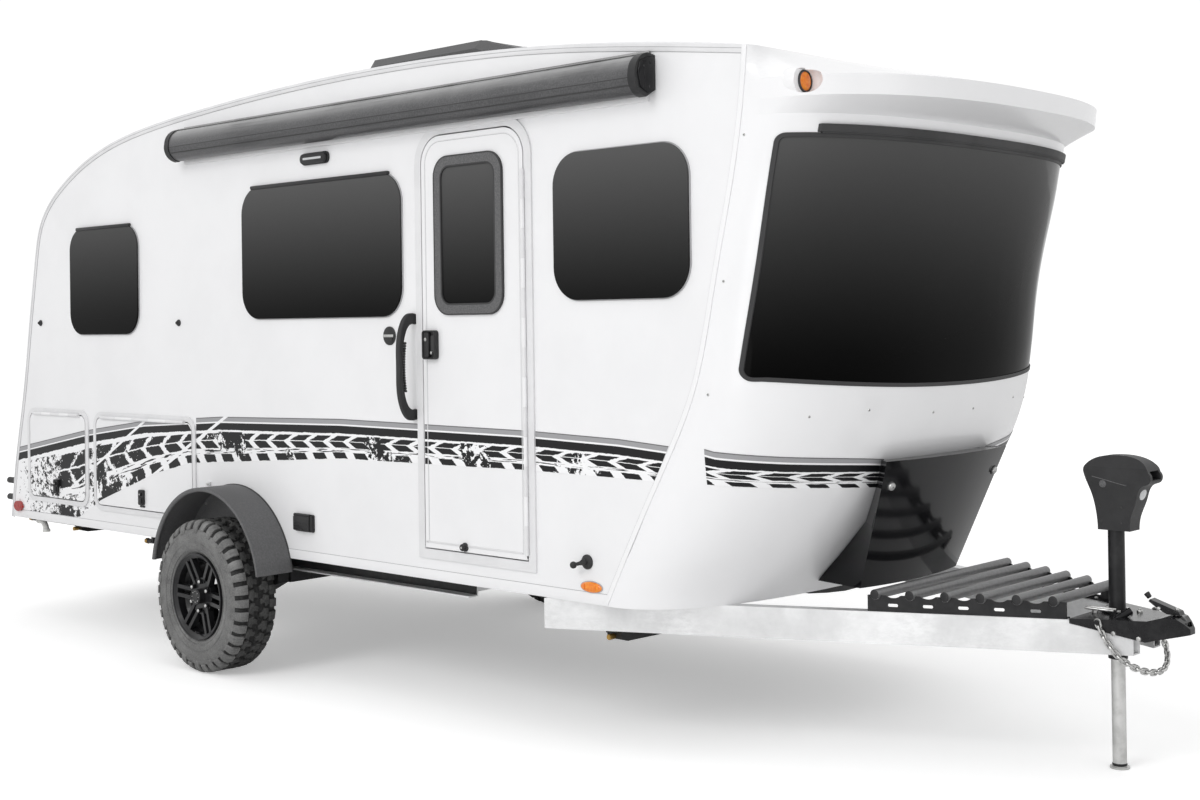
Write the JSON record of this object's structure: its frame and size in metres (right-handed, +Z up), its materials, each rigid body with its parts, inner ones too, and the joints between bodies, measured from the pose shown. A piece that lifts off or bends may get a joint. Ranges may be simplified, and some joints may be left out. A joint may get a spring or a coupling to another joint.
{
  "type": "travel trailer",
  "caption": "Small travel trailer with a curved roof line, wraparound front window, side door, off-road wheels, load rack on the A-frame and a tongue jack.",
  "frame": {"origin": "on the ground under the middle of the bounding box", "axes": "+X forwards to the hitch, +Y to the left, +Z up"},
  "size_m": [6.742, 2.562, 3.027],
  "materials": {
    "shell_white": "gloss",
    "frame_white": "satin",
    "tinted_glass": "gloss",
    "seal_rubber": "matte",
    "black_plastic": "matte",
    "nose_black": "gloss",
    "tyre": "matte",
    "rim_black": "satin",
    "aluminium": "satin",
    "bar_grey": "satin",
    "black_steel": "satin",
    "awning_grey": "satin",
    "jack_steel": "brushed",
    "zinc_steel": "satin",
    "brass": "satin",
    "amber_lens": "gloss",
    "red_lens": "gloss",
    "floor_board": "matte"
  },
  "bodies": {
    "trailer": {"wall_right": "shell_white", "wall_left": "shell_white", "roof_panel": "shell_white", "rear_wall": "shell_white", "floor_panel": "floor_board", "front_cap": "shell_white", "front_visor": "shell_white", "pano_glass": "tinted_glass", "pano_seal": "seal_rubber", "pano_rail": "black_plastic", "windows_right": "tinted_glass", "windows_left": "tinted_glass", "door_frame": "frame_white", "grab_handle": "black_plastic", "wall_fittings": "black_plastic", "baggage_frames": "frame_white", "awning_case": "awning_grey", "awning_caps": "black_plastic", "air_conditioner": "black_plastic", "lamps_amber": "amber_lens", "lamps_red": "red_lens", "fender_right": "black_plastic", "fender_left": "black_plastic", "axle": "black_steel", "trailing_arms": "black_steel", "chassis": "aluminium", "a_frame_rails": "aluminium", "rack_bars": "bar_grey", "rack_brackets": "black_steel", "coupler_body": "black_steel", "coupler_latch": "black_steel", "jack_tube": "black_steel", "jack_head": "black_plastic", "stabilisers": "black_steel", "nose_hinge": "black_steel", "rear_buffers": "seal_rubber", "safety_chains": "zinc_steel", "stabiliser_screws": "brass", "nose_compartment": "black_plastic"},
    "wheel_right": {"tyre_right": "tyre", "rim_right": "rim_black"},
    "wheel_left": {"tyre_left": "tyre", "rim_left": "rim_black"},
    "entry_door_leaf": {"entry_door": "frame_white", "door_window_frame": "black_plastic", "door_glass": "tinted_glass", "door_fittings": "black_plastic"},
    "baggage_rear_right": {"baggage_door_rear_right": "frame_white"},
    "baggage_mid_right": {"baggage_door_mid_right": "frame_white"},
    "baggage_rear_left": {"baggage_door_rear_left": "frame_white"},
    "nose_lid": {"nose_cover": "nose_black"},
    "jack_inner": {"jack_leg": "jack_steel"}
  },
  "joints": [
    {"name": "wheel_right_spin", "type": "hinge", "parent": "trailer", "child": "wheel_right", "pos_m": [-0.985, -1.166, 0.366], "axis": [0, 1, 0], "continuous": true},
    {"name": "wheel_left_spin", "type": "hinge", "parent": "trailer", "child": "wheel_left", "pos_m": [-0.985, 1.166, 0.366], "axis": [0, 1, 0], "continuous": true},
    {"name": "entry_door_hinge", "type": "hinge", "parent": "trailer", "child": "entry_door_leaf", "pos_m": [1.077, -1.056, 1.58], "axis": [0, 0, 1], "range_deg": [0, 170]},
    {"name": "baggage_rear_right_hinge", "type": "hinge", "parent": "trailer", "child": "baggage_rear_right", "pos_m": [-2.742, -1.055, 1.177], "axis": [-1, 0, 0], "range_deg": [0, 165]},
    {"name": "baggage_mid_right_hinge", "type": "hinge", "parent": "trailer", "child": "baggage_mid_right", "pos_m": [-1.8385, -1.055, 1.174], "axis": [-1, 0, 0], "range_deg": [0, 165]},
    {"name": "baggage_rear_left_hinge", "type": "hinge", "parent": "trailer", "child": "baggage_rear_left", "pos_m": [-2.742, 1.055, 1.177], "axis": [1, 0, 0], "range_deg": [0, 165]},
    {"name": "nose_cover_hinge", "type": "hinge", "parent": "trailer", "child": "nose_lid", "pos_m": [1.992, 0, 0.605], "axis": [0, 1, 0], "range_deg": [0, 20]},
    {"name": "jack_slide", "type": "slide", "parent": "trailer", "child": "jack_inner", "axis": [0, 0, 1], "range_m": [0, 0.3]}
  ]
}
